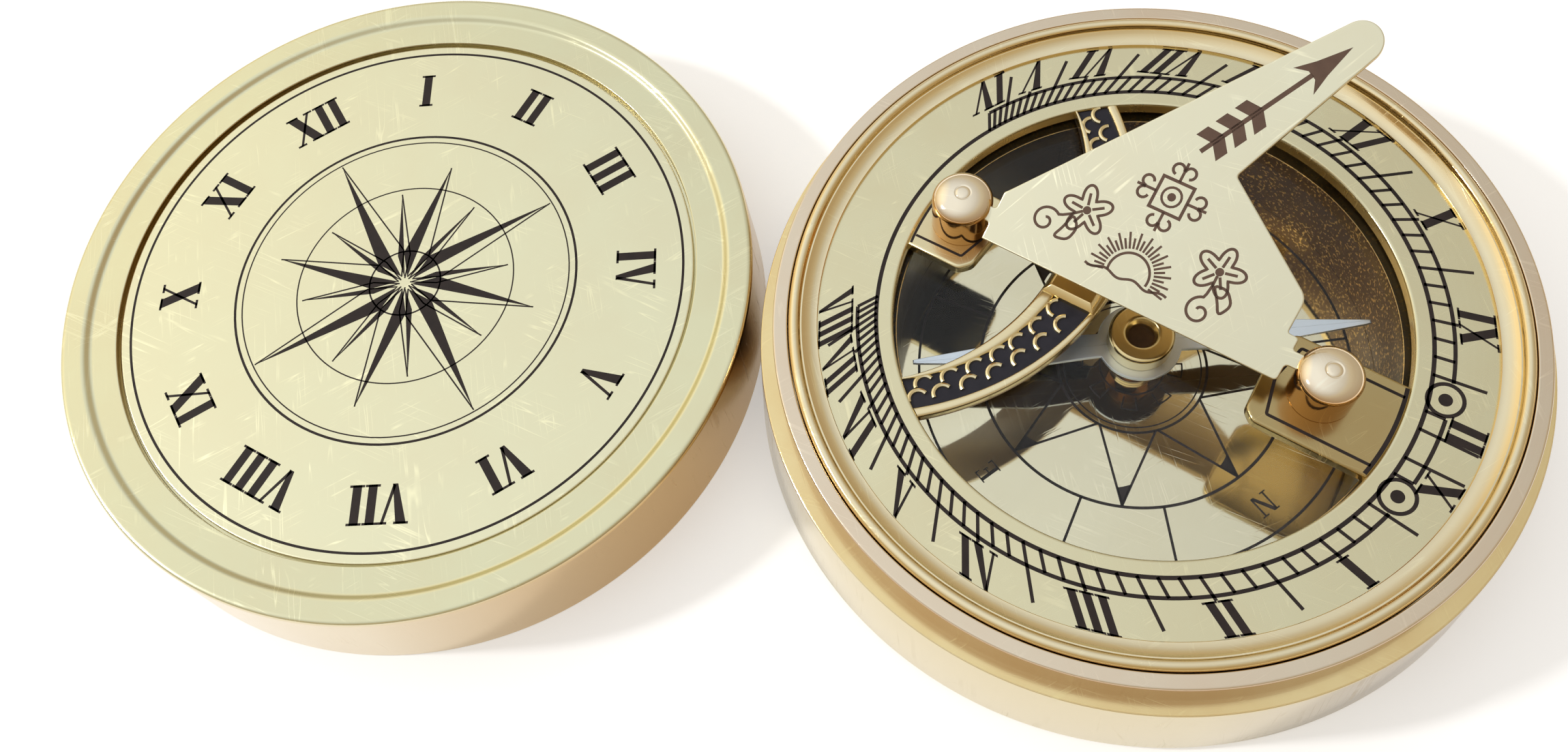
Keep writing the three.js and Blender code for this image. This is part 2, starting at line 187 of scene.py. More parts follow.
# %% Outlines and skins
def stacked(grid):
    """A closed skin over a stack of outlines that run anticlockwise, lowest first."""
    rows, columns, _ = grid.shape
    cap = np.arange(columns)[None, :]
    faces = [grid_faces(rows, columns), cap[:, ::-1], cap + (rows - 1) * columns]
    return grid.reshape(-1, 3), faces


def anticlockwise(outline):
    """The outline, turned round if its area by the shoelace sum is negative."""
    x, y = np.asarray(outline, float).T
    area = np.sum(x * np.roll(y, -1) - y * np.roll(x, -1))
    return np.stack([x, y], axis=1)[:: 1 if area > 0 else -1]


def mitred(path, closed):
    """Sideways vector at each point of a path: the mean of both edges' left normals, made longer
    so that a stroke keeps its width round a corner."""
    edge = np.roll(path, -1, axis=0) - path
    normal = np.stack([-edge[:, 1], edge[:, 0]], axis=1)
    normal /= np.linalg.norm(normal, axis=1)[:, None] + 1e-12
    if not closed:
        normal[-1] = normal[-2]
    before = np.roll(normal, 1, axis=0)
    if not closed:
        before[0] = normal[0]
    return (normal + before) / np.maximum(1 + np.sum(normal * before, axis=1), 0.5)[:, None]


print("helpers:", ", ".join(helper.__name__ for helper in (stacked, anticlockwise, mitred)))


# %% Sheet pieces
def slab(outline, bottom, top, edge=0.1, steps=3):
    """A flat sheet whose edges are quarter circles of radius e: at e (1 - cos q) from its upper
    or lower face, the outline is drawn in by e (1 - sin q) along its own normals."""
    outline = anticlockwise(outline)
    q = np.linspace(0, np.pi / 2, steps + 1)
    inset, rise, guard = edge * (1 - np.sin(q)), edge * (1 - np.cos(q)), edge + 0.05
    insets = np.concatenate([[guard], inset, [0, 0], inset[::-1], [guard]])
    middle = [bottom + guard, top - guard]
    heights = np.concatenate([[bottom], bottom + rise, middle, top - rise[::-1], [top]])
    flat = outline + insets[:, None, None] * mitred(outline, True)
    return stacked(at_height(flat, heights[:, None]))


print("outlines in a sheet's skin:", len(slab([[0, 0], [9, 0], [9, 9], [0, 9]], 0, 1)[0]) // 4)

# %% Strokes and filled shapes
SUNK, PROUD = -0.05, 0.012
INLAY = np.array([[-0.5, SUNK], [0.5, SUNK], [0.46, PROUD], [-0.46, PROUD]])


def sweep(path, section, closed=False):
    """Section point (a, b) at path point P lies at P + a s + b z, where s points sideways."""
    path = np.asarray(path, float)
    grid = at_height(path[:, None] + section[:, :1] * mitred(path, closed)[:, None], section[:, 1])
    if closed:
        return grid.reshape(-1, 3), [grid_faces(len(path), len(section), wrap=True)]
    return stacked(grid)


def stroke(path, width, closed=False):
    """An engraved line filled with colour: a thin strip let into the surface along a path."""
    return sweep(path, INLAY * [width, 1.0], closed)


def cutout(outline):
    """A filled engraving: an outline that stands a hair proud of the surface."""
    flat = anticlockwise(outline)
    return stacked(at_height(np.stack([flat, flat]), np.array([[SUNK], [PROUD]])))


def circle(centre, radius, steps, width=None):
    """An engraved circle, or a filled disc when no width is given."""
    outline = arc(*centre, radius, 0, 360, steps)[:-1]
    return cutout(outline) if width is None else stroke(outline, width, closed=True)


print("an engraving stands", PROUD, "mm proud of its sheet")

# %% From a grid to a piece
SHARP = np.radians(35.0)


def add_piece(name, parts, material, body, slot=None, stands_for=(), **place):
    """Joins parts into one mesh in metres, shades it smooth except over sharp edges and on flat
    caps, and hangs it on a body of the frame."""
    points, faces, offset = [], [], 0
    for part_points, part_faces in parts:
        points.append(part_points)
        for block in part_faces:
            faces += (block + offset).tolist()
        offset += len(part_points)
    where = placed(np.concatenate(points), **place) * MM
    mesh = bpy.data.meshes.new(name)
    mesh.from_pydata(where.tolist(), [], faces)
    mesh.polygons.foreach_set("use_smooth", [len(face) < 5 for face in faces])
    mesh.set_sharp_from_angle(angle=SHARP)
    mesh.materials.append(material)
    piece = bpy.data.objects.new(name, mesh)
    bpy.context.scene.collection.objects.link(piece)
    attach(piece, body)
    if stands_for:
        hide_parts(*stands_for)
    print(f"{name}: {len(mesh.polygons)} faces")


print("edges of more than", round(float(np.degrees(SHARP))), "degrees stay sharp")

# %% [markdown]
# ## Shared finishes
# Real brass is never one colour. A lathe leaves fine rings, a brush leaves hairlines, handling
# leaves stray scratches, and air leaves a warm bloom. Pictures could hold them, but noise that
# is worked out at each point stays sharp at any distance. Each of these is a node group with
# named sockets, built once, and a fourth group tells how far a face looks one way, which the
# metals use to paint light and shade. The groups only give masks, and each material decides
# what they do.

# %% Setting and joining inputs
def connect(tree, node, inputs):
    """Sets a node's inputs or joins them to sockets. A node given as a value stands for its
    first output, and a colour of three numbers is made opaque."""
    for key, value in inputs.items():
        socket = node.inputs[key]
        if isinstance(value, bpy.types.Node):
            value = value.outputs[0]
        if isinstance(value, bpy.types.NodeSocket):
            tree.links.new(value, socket)
        else:
            socket.default_value = (*value, 1) if socket.type == "RGBA" else value


def wire(tree, kind, inputs=None, **settings):
    """A new shader node, with its settings and its inputs."""
    made = tree.nodes.new("ShaderNode" + kind)
    for key, value in settings.items():
        setattr(made, key, value)
    connect(tree, made, inputs or {})
    return made


print("helpers:", ", ".join(helper.__name__ for helper in (connect, wire)))


# %% The nodes that every finish needs
def calc(tree, operation, *inputs):
    """A Math node on two or three numbers."""
    return wire(tree, "Math", dict(enumerate(inputs)), operation=operation)


def mapped(tree, value, low, high, top=1.0):
    """A number that goes from 0 to `top` while the value goes from low to high."""
    return wire(tree, "MapRange", {
        "Value": value, "From Min": low, "From Max": high, "To Max": top,
    })


def clouds(tree, place, scale, detail, roughness=0.5):
    """Soft noise with `scale` clouds to the metre."""
    return wire(tree, "TexNoise", {
        "Vector": place, "Scale": scale, "Detail": detail, "Roughness": roughness,
    })


def mixed(tree, share, first, second, **settings):
    """A colour that goes from the first to the second as the share goes from 0 to 1."""
    inputs = {0: share, 6: first, 7: second}
    return wire(tree, "Mix", inputs, data_type="RGBA", **settings).outputs[2]


print("helpers:", ", ".join(helper.__name__ for helper in (calc, mapped, clouds, mixed)))


# %% An empty node group
def new_group(name, inputs, output):
    """An empty node group with a vector, the further inputs (a vector where its value has three
    numbers) and one number as its output. The sockets that bring the inputs and the node that
    takes the output come with it."""
    group = bpy.data.node_groups.new(name, "ShaderNodeTree")
    for key, value in {"Vector": (0, 0, 0), **inputs}.items():
        kind = "NodeSocketVector" if isinstance(value, tuple) else "NodeSocketFloat"
        made = group.interface.new_socket(key, in_out="INPUT", socket_type=kind)
        made.default_value = value
    group.interface.new_socket(output, in_out="OUTPUT", socket_type="NodeSocketFloat")
    return group, group.nodes.new("NodeGroupInput").outputs, group.nodes.new("NodeGroupOutput")


print("node groups so far:", len(bpy.data.node_groups))

# %% Lathe rings
turning, given, leave = new_group("lathe rings", {"Rings per metre": 2500.0}, "Height")
flat = wire(turning, "VectorMath", {0: given["Vector"], 1: (1, 1, 0)}, operation="MULTIPLY")
radius = wire(turning, "VectorMath", {0: flat}, operation="LENGTH").outputs["Value"]
depth = wire(turning, "SeparateXYZ", {0: given["Vector"]}).outputs["Z"]
line = wire(turning, "CombineXYZ", {"X": radius, "Y": depth})
rings = clouds(turning, line, given["Rings per metre"], 3.0)
connect(turning, leave, {"Height": rings})
print("lathe rings:", len(turning.nodes), "nodes")

# %% Hairlines and scratches
scratches, given, leave = new_group("scratches", {"Length": 0.03, "Spacing": 0.0012}, "Mask")
masks = []
for angle in (0.3, 1.25, 2.5):
    turned = wire(scratches, "VectorRotate", {"Vector": given["Vector"], "Angle": angle},
                  rotation_type="Z_AXIS")
    x, y, z = wire(scratches, "SeparateXYZ", {0: turned}).outputs
    along = calc(scratches, "DIVIDE", x, given["Length"])
    across = calc(scratches, "DIVIDE", y, given["Spacing"])
    grid = wire(scratches, "CombineXYZ", {"X": along, "Y": across, "Z": z})
    offset = calc(scratches, "SUBTRACT", clouds(scratches, grid, 1.0, 1.0), 0.5)
    thin = mapped(scratches, calc(scratches, "ABSOLUTE", offset), 0.012, 0.0)
    patch = clouds(scratches, turned, 140.0 + 60 * angle, 2.0)
    masks.append(calc(scratches, "MULTIPLY", thin, mapped(scratches, patch, 0.52, 0.66)))
most = calc(scratches, "MAXIMUM", calc(scratches, "MAXIMUM", *masks[:2]), masks[2])
connect(scratches, leave, {"Mask": most})
print("scratches:", len(scratches.nodes), "nodes in three directions")

# %% Bloom of tarnish
tarnish, given, leave = new_group("tarnish", {"Scale": 90.0, "Amount": 0.5}, "Mask")
soft = mapped(tarnish, clouds(tarnish, given["Vector"], given["Scale"], 5.0, 0.62), 0.35, 0.75)
connect(tarnish, leave, {"Mask": calc(tarnish, "MULTIPLY", soft, given["Amount"])})
print("tarnish:", len(tarnish.nodes), "nodes")

# %% Faces that look one way
limits = {"Axis": (0, 0, 1), "Absent": 0.0, "Full": 1.0}
facing, given, leave = new_group("facing", limits, "Mask")
cosine = wire(facing, "VectorMath", {0: given["Vector"], 1: given["Axis"]},
              operation="DOT_PRODUCT").outputs["Value"]
connect(facing, leave, {"Mask": mapped(facing, cosine, given["Absent"], given["Full"])})
print("facing:", len(facing.nodes), "nodes")

# %% [markdown]
# ## Metals
# One recipe makes every metal in the instrument. The colours, the roughness, the strength of
# the lathe rings and of the scratches change from piece to piece: the lid and the hour ring are
# satin, the case and the posts are polished, and the card in the bottom is almost a mirror.
# Polished metal also takes its colour from what it faces, and a plain studio has little to
# show. So a metal can carry painted tones of light and shade: warmer or darker colours that
# grow as a face turns in one direction, such as the brown painted on an upright wall where it
# looks away from the window.

# %% Metal recipe
def new_material(name):
    """A material, its node tree and its Principled shader."""
    material = bpy.data.materials.new(name)
    material.use_nodes = True
    return material, material.node_tree, material.node_tree.nodes["Principled BSDF"]


def metal(name, colour, bloom, rough, rings=0.0, marks=0.5, spacing=2500.0, stain=0.5,
          centre=(0.0, 0.0, 0.0), uneven=0.08, painted_tones=(), painted_glints=None):
    """Colour leans towards the bloom where the tarnish mask says so. Each tone paints light and
    shade into the colour: it names an axis, the cosines between it and the normal where the tone
    is absent and full, and a colour. The last argument is the colour of painted glints, a fine
    scatter of grains over the toned parts. Roughness rises in scratches and bloom, and a bump
    presses rings and scratches into the surface."""
    material, tree, shader = new_material(name)
    coordinates = wire(tree, "TexCoord").outputs
    place = coordinates["Object"]
    middle = wire(tree, "Mapping", {"Vector": place, "Location": tuple(-c * MM for c in centre)})
    ringed = wire(tree, "Group", {"Vector": middle, "Rings per metre": spacing}, node_tree=turning)
    marked = wire(tree, "Group", {"Vector": place}, node_tree=scratches)
    stained = wire(tree, "Group", {"Vector": place, "Amount": stain}, node_tree=tarnish)
    light = tuple(min(1.0, 1.25 * c) for c in colour)
    tone = mixed(tree, stained, colour, bloom)
    tone = mixed(tree, calc(tree, "MULTIPLY", marked, 0.9 * marks), tone, light)
    # Painted light and shade: each tone mixes its colour in as the face turns towards its axis.
    for axis, absent, full, shade in painted_tones:
        mask = wire(tree, "Group", {"Vector": coordinates["Normal"], "Axis": axis,
                                    "Absent": absent, "Full": full}, node_tree=facing)
        tone = mixed(tree, mask, tone, shade)
        # Painted glints: grains of the glint colour scattered over the toned part.
        if painted_glints:
            grain = mapped(tree, clouds(tree, place, 3000.0, 3.0), 0.57, 0.63, mask)
            tone = mixed(tree, grain, tone, painted_glints)
    dull = calc(tree, "MULTIPLY_ADD", stained, uneven, rough)
    height = calc(tree, "MULTIPLY_ADD", marked, -0.6 * marks,
                  calc(tree, "MULTIPLY", ringed, rings))
    connect(tree, shader, {
        "Metallic": 1.0,
        "Base Color": tone,
        "Roughness": calc(tree, "MULTIPLY_ADD", marked, 0.18 * marks, dull),
        "Normal": wire(tree, "Bump", {"Height": height, "Strength": 1.0, "Distance": 5e-6}),
    })
    return material


print("a metal draws on:", ", ".join(group.name for group in bpy.data.node_groups))


# %% Two common painted tones
def wall(colour):
    """A painted tone for upright walls, whose normals have a small z: painted reflection."""
    return (0, 0, 1), 0.75, 0.30, colour


def underside(colour):
    """A painted tone of light and shade for faces that look down."""
    return (0, 0, 1), -0.45, -0.85, colour


print("a wall's tone is full where the normal's z is under", wall(None)[2])

# %% Turned brasses
# Painted reflection and shade: upright walls are darker, and faces that turn to +x, away from the
# sun, darker and browner still.
case_brass = metal("case brass", (0.84, 0.74, 0.48), (0.82, 0.65, 0.36), 0.15, rings=1.2,
                   marks=0.6, spacing=3200.0,
                   painted_tones=(wall((0.67, 0.58, 0.38)),
                          ((0.95, -0.30, 0.0), 0.45, 0.90, (0.44, 0.34, 0.22))))
# Painted shade and reflection: the collar's upright wall is brown, for the groove's shadow under
# the bezel and the ledge it mirrors.
collar_brass = metal("collar brass", (0.77, 0.67, 0.52), (0.76, 0.59, 0.42), 0.17, rings=1.2,
                     spacing=3200.0, painted_tones=(wall((0.46, 0.29, 0.16)),))
# Painted reflection: faces that tilt away from straight up turn golden, as if they mirrored warm
# brass round them.
bezel_brass = metal("bezel brass", (0.84, 0.75, 0.51), (0.82, 0.66, 0.38), 0.13, rings=1.6,
                    marks=0.6, spacing=3200.0,
                    painted_tones=(((0, 0, 1), 0.97, 0.72, (0.80, 0.58, 0.25)),))
# Painted shade: faces that look down are dark brown.
golden_brass = metal("golden brass", (0.86, 0.70, 0.37), (0.76, 0.52, 0.22), 0.16, rings=0.8,
                     painted_tones=(underside((0.42, 0.24, 0.09)),))
# Painted shade and light: the wall is nearly black for the shade inside the chamber, inner walls
# on the +x, +y side get a brown tone with painted glints where the sun strikes, and faces that
# look up a painted golden highlight.
shaded_chamber_brass = metal("chamber brass", (0.020, 0.014, 0.012), (0.060, 0.036, 0.018), 0.30,
                      rings=3.0, marks=1.0, stain=1.0, uneven=0.2, painted_glints=(0.95, 0.60, 0.18),
                      painted_tones=(((-0.75, -0.66, 0.0), 0.35, 0.95, (0.20, 0.10, 0.02)),
                             ((0, 0, 1), 0.60, 0.95, (0.70, 0.46, 0.18))))
card_brass = metal("card brass", (0.80, 0.745, 0.55), (0.74, 0.66, 0.46), 0.05, stain=0.4,
                   uneven=0.05)
# Painted reflection: the dome's rim and the sides turn orange-brown as they tilt away from
# straight up.
post_brass = metal("post brass", (0.92, 0.84, 0.67), (0.88, 0.70, 0.46), 0.07, rings=0.5,
                   marks=0.4, stain=0.35, painted_tones=(((0, 0, 1), 0.92, 0.40, (0.58, 0.32, 0.12)),))
# Painted reflection and shade: upright walls take a pinkish tone, and faces that turn to +x, away
# from the sun, a darker brown.
lid_brass = metal("lid brass", (0.745, 0.73, 0.49), (0.72, 0.65, 0.42), 0.18, rings=1.0,
                  marks=0.6, spacing=3200.0, centre=LID_CENTRE,
                  painted_tones=(wall((0.74, 0.64, 0.47)),
                         ((0.95, -0.31, 0.0), 0.42, 0.98, (0.52, 0.33, 0.13))))
print(len(bpy.data.materials), "materials so far")

# %% Sheet brasses and steel
# Painted shade: the near-black colour of faces that look down, which the card mirrors.
UNDERSIDE_SHADE = (0.030, 0.027, 0.032)
# Painted reflection and shade: upright walls golden-brown, undersides near black.
ring_brass = metal("hour ring brass", (0.76, 0.725, 0.49), (0.73, 0.65, 0.41), 0.26, rings=0.6,
                   marks=0.8, painted_tones=(wall((0.74, 0.54, 0.24)), underside(UNDERSIDE_SHADE)))
# Painted shade: faces that look down are near black.
south_brass = metal("south tab brass", (0.78, 0.71, 0.45), (0.74, 0.60, 0.34), 0.20, marks=0.8,
                    painted_tones=(underside(UNDERSIDE_SHADE),))
# Painted shade: the north tab is darker than the south tab, for the shade of the plate and its
# post; its bright underside is a painted reflection that the card mirrors.
shaded_north_brass = metal("north tab brass", (0.48, 0.38, 0.18), (0.44, 0.29, 0.11), 0.18, marks=0.8,
                    painted_tones=(underside((1.0, 0.70, 0.34)),))
# Painted reflection and shade: the sawn edges golden-brown, the underside a darker brown.
plate_brass = metal("plate brass", (0.80, 0.775, 0.58), (0.76, 0.70, 0.50), 0.28, marks=0.8,
                    painted_tones=(wall((0.66, 0.50, 0.26)), underside((0.54, 0.39, 0.19))))
medal_brass = metal("medallion brass", (0.79, 0.775, 0.54), (0.76, 0.71, 0.49), 0.28, marks=0.8)
bar_brass = metal("bar rim brass", (0.86, 0.77, 0.50), (0.80, 0.64, 0.36), 0.16)
raw_brass = metal("raw brass", (0.50, 0.37, 0.27), (0.36, 0.25, 0.17), 0.34, marks=0.3)
# Painted shade: the underside of the blade is a nearly black brown.
steel = metal("blued steel", (0.80, 0.87, 0.96), (0.70, 0.79, 0.91), 0.34, marks=0.3,
              painted_tones=(underside((0.09, 0.06, 0.045)),))
print(len(bpy.data.materials), "materials with the sheet metals")

# %% [markdown]
# ## Filled engraving
# The lines and numerals are cut into the brass and filled with black wax or lacquer, which
# sinks a little and has an uneven, dull skin. Booleans could cut the grooves, but hundreds of
# them are slow and leave ragged edges. A thin dark strip let into the surface, with a fine bump,
# looks the same, because each line is only a few tenths of a millimetre wide.

# %% Wax, paint and jewel
def filling(name, colour, other, rough, grain=900.0):
    """A dull dark coat: two near colours in small clouds, with a bump of the same clouds."""
    material, tree, shader = new_material(name)
    cloud = clouds(tree, wire(tree, "TexCoord").outputs["Object"], grain, 4.0)
    connect(tree, shader, {
        "Specular IOR Level": 0.25,
        "Base Color": mixed(tree, cloud, colour, other),
        "Roughness": calc(tree, "MULTIPLY_ADD", cloud, 0.3, rough),
        "Normal": wire(tree, "Bump", {"Height": cloud, "Distance": 2e-5}),
    })
    return material


black_wax = filling("black wax", (0.010, 0.007, 0.007), (0.035, 0.024, 0.022), 0.40)
brown_wax = filling("brown wax", (0.085, 0.048, 0.034), (0.14, 0.085, 0.06), 0.42)
navy_paint = filling("navy paint", (0.008, 0.008, 0.014), (0.028, 0.026, 0.036), 0.32)
jewel = filling("jewel", (0.025, 0.010, 0.006), (0.11, 0.050, 0.022), 0.30, grain=1500.0)
print(len(bpy.data.materials), "materials with wax, paint and jewel")

# %% [markdown]
# ## Glass
# A clear pane bends light and lets it through. Worked out fully, its shadow on the card would
# need very many samples, so rays that only ask for a shadow meet a plain transparent surface.
# The index of refraction is low, which keeps the card below nearly where the eye expects it.

# %% Glass
glass, tree, shader = new_material("window glass")
connect(tree, shader, {
    "Base Color": (0.97, 0.985, 0.98), "Roughness": 0.0, "IOR": 1.25, "Transmission Weight": 1.0,
})
clear = wire(tree, "BsdfTransparent", {"Color": (0.94, 0.95, 0.94)})
rays = wire(tree, "LightPath").outputs
either = wire(tree, "MixShader", {0: rays["Is Shadow Ray"], 1: shader, 2: clear})
connect(tree, tree.nodes["Material Output"], {"Surface": either})
print("window glass:", len(tree.nodes), "nodes")

# %% [markdown]
# ## Case
# The case is a turned cup. Its wall leans in slightly towards a ledge, and a thinner collar
# stands on the ledge for the lid to slip over. The ledge is finished in a more golden brass.
# A profile turned round the axis gives each of them: its points are radii and heights, read up
# the outside and down the inside. A bevel modifier would round all the corners alike. Here each
# corner is broken by a tiny curve of its own, because a sharp corner never shows the bright
# line that a real one does.

# %% Case cup, ledge and collar
cup = softened([[39.9, 1.2], [39.0, 11.6], [36.8, 11.6], [36.8, DIAL_SEAT], [28.7, DIAL_SEAT],
                [28.7, FLOOR_TOP], [0, FLOOR_TOP]], cut=[0, 0.18, 0.02, 0.02, 0.1, 0.1, 0],
               closed=False)
cup = np.vstack([[[0, 0]], arc(38.7, 1.2, 1.2, -90, 0, 8)[:-1], cup])
ledge = softened([[36.9, 11.5], [38.9, 11.5], [38.9, 11.68], [36.9, 11.68]],
                 cut=[0.02, 0.02, 0.06, 0.02])
collar = softened([[36.1, 11.4], [37.4, 11.4], [37.4, 15.3], [35.9, 15.3], [35.9, 12.7],
                   [36.1, 12.7]], cut=[0.02, 0.02, 0.25, 0.15, 0.02, 0.02])
for name, profile, finish in (("case_wall", cup, case_brass), ("case_ledge", ledge, golden_brass),
                              ("case_collar", collar, collar_brass)):
    add_piece(name, [lathe(profile)], finish, "case", "case_brass", ("case_cup",))

# %% [markdown]
# ## Bezel
# A separate ring is pressed in on top of the dial. It has a round bead at its outer edge and a
# hollow cove that runs down to the numerals. A box with bevelled edges would show flat bands
# there, while curves gather the light in fine lines. So the bead is a half circle, and the cove
# is the parabola z = 14.5 + 0.7 t^2 from its inner lip to the bead.

# %% Bezel ring
t = np.linspace(1, 0, 13)
cove = np.stack([32.9 + 1.7 * t, 14.5 + 0.7 * t**2], axis=1)
bezel_profile = np.vstack([
    [[32.9, DIAL_TOP], [35.82, DIAL_TOP]],
    arc(35.21, 15.09, 0.61, 0, 180, 14),
    cove[1:-1],
    [[32.96, 14.5], [32.9, 14.44]],
])
add_piece("bezel", [lathe(bezel_profile)], bezel_brass, "case", "case_brass", ("bezel_ring",))

# %% [markdown]
# ## Hour ring and tabs
# The dial is a flat ring of sheet brass with two tabs that reach in over the glass and carry
# the posts. One outline could give ring and tabs together, but filing leaves the tabs with
# rounder edges, and a fine groove shows where the ring's lip passes each tab. So the ring is
# turned, and the tabs are slabs that stop at the lip.

# %% Hour ring
ring_profile = softened([[LIP, DIAL_SEAT], [35.6, DIAL_SEAT], [35.6, DIAL_TOP], [LIP, DIAL_TOP]],
                        cut=[0.1, 0.05, 0.05, 0.32], steps=5)
add_piece("hour_ring", [lathe(ring_profile)], ring_brass, "case", "plate_brass", ("hour_dial",))


# %% Tabs
def tab_outline(side, inner, half, corner, bow):
    """From the lip's arc along straight sides to cut corners and a slightly bowed end."""
    seam = LIP + 0.05
    cut = half - 0.8 * corner
    reach = np.degrees(np.arcsin(half / seam))
    lip = arc(0, 0, seam, -reach, reach, 12)
    nose = softened([lip[-1], [inner + corner, half], [inner + bow, cut], [inner, 0],
                     [inner + bow, -cut], [inner + corner, -half], lip[0]],
                    cut=[0, 0.5, 0.5, 0.4, 0.5, 0.5, 0], closed=False)
    return anticlockwise(np.vstack([lip, nose[1:-1]]) * [side, 1])


for name, finish, side, inner, half, corner, bow in (
    ("south_tab", south_brass, -1, 17.4, 4.7, 1.5, 0.4),
    ("north_tab", shaded_north_brass, 1, 12.1, 5.3, 1.3, 0.2),
):
    shape = tab_outline(side, inner, half, corner, bow)
    add_piece(name, [slab(shape, DIAL_SEAT, DIAL_TOP, edge=0.3, steps=5)], finish, "case",
              "plate_brass", ("hour_dial",), **ON_DIAL)

# %% [markdown]
# ## Letters from a few strokes
# Old dials carry Roman numerals with thick and thin strokes and small serifs. A font could set
# them, but its outlines would be far heavier than they need to be, and only I, V and X and the
# four quarters of the compass are wanted. So each letter is a handful of flat polygons in a box
# one unit high, and the same letters serve at every size and slant.

# %% Letter shapes
def box(x0, x1, y0=0, y1=1):
    """A rectangle, as tall as the letter unless it is told otherwise."""
    return [(x0, y0), (x1, y0), (x1, y1), (x0, y1)]


def serif(x0, x1, high=True):
    """A thin bar at the letter's top or foot."""
    return box(x0, x1, 0.94, 1) if high else box(x0, x1, 0, 0.06)


def slant(x0, x1, x2, x3, y3=0):
    """A stroke from x0 to x1 at the top down to x2 and x3 at the foot."""
    return [(x0, 1), (x1, 1), (x2, 0), (x3, y3)]


LETTERS = {
    "I": (0.42, [box(0.09, 0.33), serif(0.01, 0.41), serif(0.01, 0.41, False)]),
    "V": (0.82, [slant(0.05, 0.33, 0.51, 0.37), slant(0.67, 0.75, 0.49, 0.41, 0.04),
                 serif(0, 0.39), serif(0.57, 0.84)]),
    "X": (0.84, [slant(0.04, 0.33, 0.82, 0.53), slant(0.66, 0.74, 0.15, 0.07),
                 serif(0, 0.37), serif(0.55, 0.82), serif(0, 0.27, False),
                 serif(0.46, 0.84, False)]),
    "N": (0.96, [box(0.12, 0.20), box(0.74, 0.82), slant(0.10, 0.30, 0.82, 0.66),
                 serif(0, 0.24), serif(0.60, 0.94), serif(0, 0.32, False)]),
    "E": (0.72, [box(0.10, 0.26), serif(0, 0.64), serif(0, 0.66, False),
                 box(0.2, 0.50, 0.47, 0.53), box(0.60, 0.66, 0, 0.24), box(0.58, 0.64, 0.78, 1),
                 box(0.46, 0.52, 0.38, 0.62)]),
    "W": (1.2, [slant(0.06, 0.24, 0.42, 0.34), slant(0.58, 0.64, 0.42, 0.37, 0.02),
                slant(0.50, 0.68, 0.86, 0.78), slant(1.06, 1.12, 0.86, 0.81, 0.02),
                serif(0, 0.32), serif(0.44, 0.76), serif(0.98, 1.2)]),
}
TWELVE = "XII I II III IV V VI VII VIII IX X XI".split()


def lettered(text, place):
    """Solids for a word; `place` maps an array of letter points, centred in x, to the surface."""
    start, parts = -sum(LETTERS[letter][0] for letter in text) / 2, []
    for letter in text:
        advance, shapes = LETTERS[letter]
        parts += [cutout(place(np.array(shape) + [start, 0])) for shape in shapes]
        start += advance
    return parts


print("letters:", " ".join(LETTERS))

# %% [markdown]
# ## Hour scale
# On a horizontal sundial the lines of the hours spread out from where the style meets the dial.
# Here they leave two points beside the noon line, fifteen degrees to the hour, so the numerals
# crowd together early and late in the day. A ladder between two circles counts every ten
# minutes, and a ring with a dot stands on each side of noon, in the place of one of its lines.
# The lines could be placed by eye, but the sundial's own rule puts them all right at once.

# %% Hour lines
HOUR_POINT = np.array([-18.6, 1.68])
LADDER_IN, LADDER_OUT = 26.95, 28.85
RUNG, HALF_HOUR, HOUR = LADDER_OUT, 31.9, 29.3


def hour_point(angle, radius, side=1):
    """Where the ray at an angle from the hour point O meets a circle about the axis:
    P = O + s d, with s the positive root of |O + s d| = radius."""
    d = ray(angle + 0 * np.asarray(radius, float))
    along = d @ HOUR_POINT
    reach = -along + np.sqrt(along**2 - HOUR_POINT @ HOUR_POINT + np.square(radius))
    return (HOUR_POINT + d * reach[..., None]) * [1, side]


lines = [circle((0, 0), LADDER_IN, 240, 0.46)]
for start, end, steps in ((15.2, 151.9, 90), (-7.4, 7.4, 12), (-151.9, -15.2, 90)):
    lines.append(stroke(arc(0, 0, LADDER_OUT, start, end, steps), 0.42))
for side in (1, -1):
    for k in (k for k in range(49) if k != 2):
        reach = {0: HOUR, 3: HALF_HOUR}.get(k % 6, RUNG)
        reach = {0: 32.6, 48: RUNG}.get(k, reach)
        lines.append(stroke(hour_point(2.5 * k, np.array([26.9, reach]), side), 0.36))
    centre = 28.42 * ray(11.4 * side)
    lines += [circle(centre, 1.68, 40, 0.42), circle(centre, 0.66, 24)]
add_piece("hour_lines", lines, black_wax, "case", rise=DIAL_TOP, **ON_DIAL)


# %% Numerals of the hours
def on_hour(angle, side, width=3.4):
    """Letter point (x, y) lies on the hour line at radius 32.8 - 3.5 y, then x along the ring."""
    x, y = hour_point(angle, 31.0, side) / 31.0
    return lambda p: hour_point(angle, 32.8 - 3.5 * p[:, 1], side) + p[:, :1] * width * [-y, x]


numerals = lettered("X", on_hour(1.8, -1)) + lettered("II", on_hour(1.5, 1))
for hour in range(1, 9):
    numerals += lettered(TWELVE[12 - hour], on_hour(15 * hour, 1, 3.2))
    numerals += lettered(TWELVE[hour], on_hour(15 * hour, -1, 2.6 if hour > 6 else 3.4))
add_piece("hour_numerals", numerals, black_wax, "case", rise=DIAL_TOP, **ON_DIAL)

